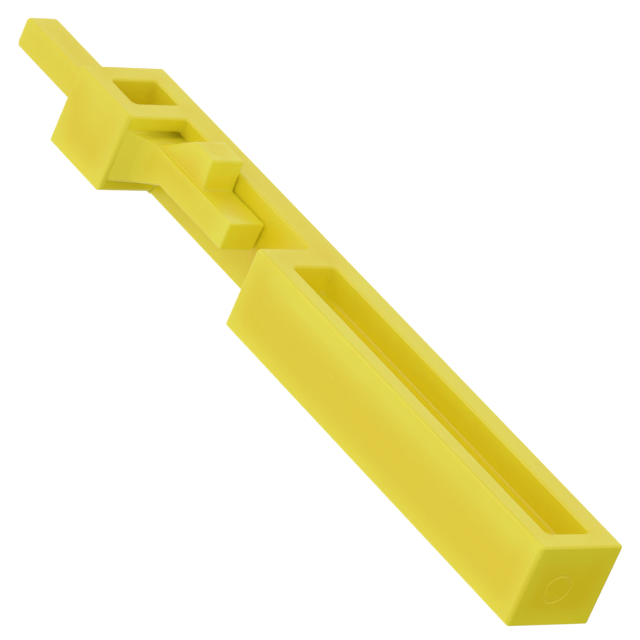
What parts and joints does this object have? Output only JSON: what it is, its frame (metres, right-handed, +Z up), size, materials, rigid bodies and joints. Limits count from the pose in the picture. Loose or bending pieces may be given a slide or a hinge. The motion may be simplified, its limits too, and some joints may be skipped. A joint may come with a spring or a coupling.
{
  "type": "connector keying plug",
  "caption": "Narrow moulded plug that fills one empty contact cavity of a crimp-connector housing, with a coring pocket, a flexing locking latch and a square key prong.",
  "frame": {"origin": "centre of the outline on the base plane, which is the flat underside opposite the latch barb", "axes": "+X along the plug from the rear push face to the tip of the key prong, +Y towards the open side of the latch, +Z up out of the side that the barb stands on"},
  "size_m": [0.0202, 0.0022, 0.0022],
  "materials": {
    "yellow_plastic": "satin translucent"
  },
  "bodies": {
    "plug_body": {"rear_body": "yellow_plastic", "side_rail": "yellow_plastic", "head_block": "yellow_plastic", "key_prong": "yellow_plastic", "latch_root": "yellow_plastic"},
    "latch": {"latch_beam": "yellow_plastic", "latch_barb": "yellow_plastic", "release_tab": "yellow_plastic"}
  },
  "joints": [
    {"name": "latch_flex", "type": "hinge", "parent": "plug_body", "child": "latch", "pos_m": [0.00519, 0, 0.00123], "axis": [0, -1, 0], "range_deg": [0, 10], "stiffness_Nm_per_rad": 0.06}
  ]
}
